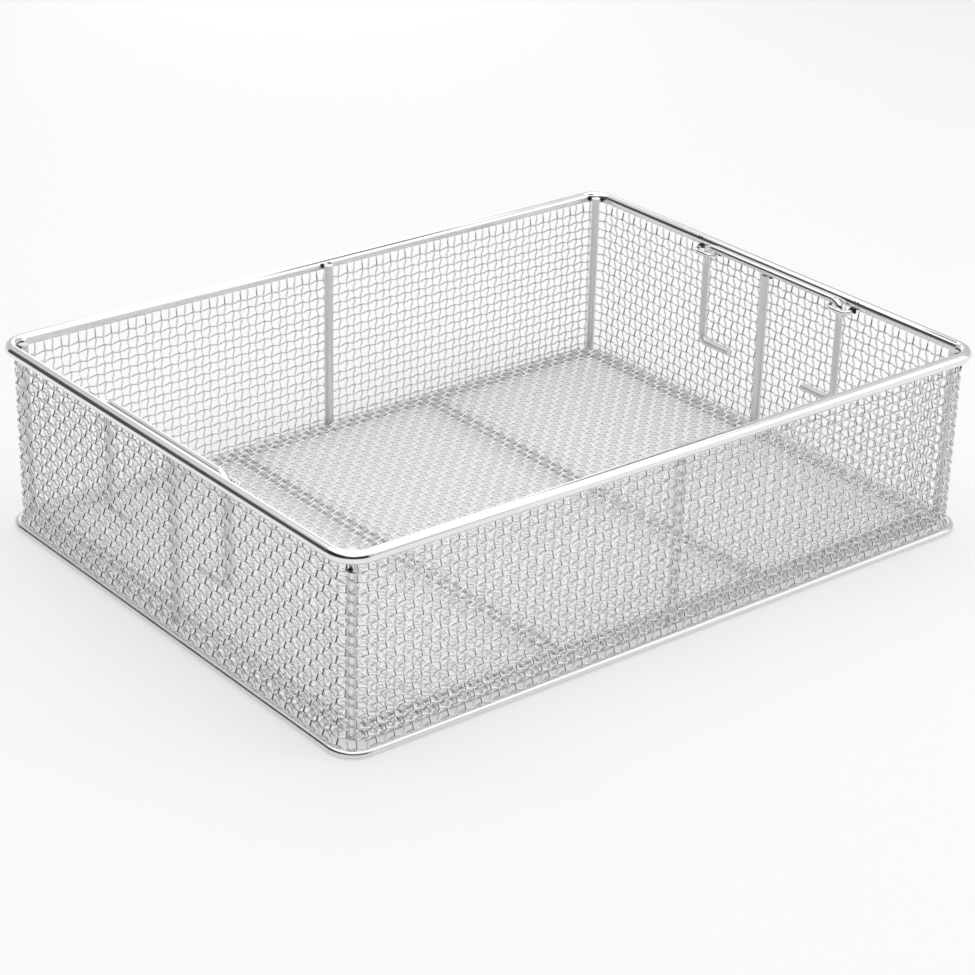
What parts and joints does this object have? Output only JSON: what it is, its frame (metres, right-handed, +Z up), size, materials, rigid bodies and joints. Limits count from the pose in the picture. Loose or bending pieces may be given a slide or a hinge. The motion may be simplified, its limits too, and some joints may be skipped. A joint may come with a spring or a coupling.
{
  "type": "autoclave basket",
  "caption": "Rectangular woven-wire steel basket with a round rod rim, upright rod posts and lifting handles that slide up along its end walls, for steam sterilising.",
  "frame": {"origin": "on the ground, under the middle of the basket", "axes": "+X along the long walls to the right, +Y along the short walls to the back, +Z up"},
  "size_m": [0.4, 0.302, 0.1025],
  "materials": {
    "frame": "polished",
    "handle": "polished",
    "guide": "polished",
    "strip": "satin",
    "wire": "satin"
  },
  "bodies": {
    "basket": {"top_rim": "frame", "bottom_frame": "frame", "floor_mesh": "wire", "wall_mesh_front": "wire", "wall_mesh_back": "wire", "wall_mesh_left": "wire", "wall_mesh_right": "wire", "floor_strip_front": "strip", "floor_strip_back": "strip", "floor_strip_left": "strip", "floor_strip_right": "strip", "cross_strip_left": "strip", "cross_strip_right": "strip", "corner_strip_front_left": "strip", "corner_strip_front_right": "strip", "corner_strip_back_left": "strip", "corner_strip_back_right": "strip", "side_strip_front": "strip", "side_strip_back": "strip", "side_strip_left": "strip", "side_strip_right": "strip", "guide_left_front": "guide", "guide_left_back": "guide", "guide_right_front": "guide", "guide_right_back": "guide"},
    "handle_left": {"handle_left": "handle"},
    "handle_right": {"handle_right": "handle"}
  },
  "joints": [
    {"name": "handle_left_slide", "type": "slide", "parent": "basket", "child": "handle_left", "axis": [0, 0, 1], "range_m": [0, 0.0498]},
    {"name": "handle_right_slide", "type": "slide", "parent": "basket", "child": "handle_right", "axis": [0, 0, 1], "range_m": [0, 0.0498]}
  ]
}
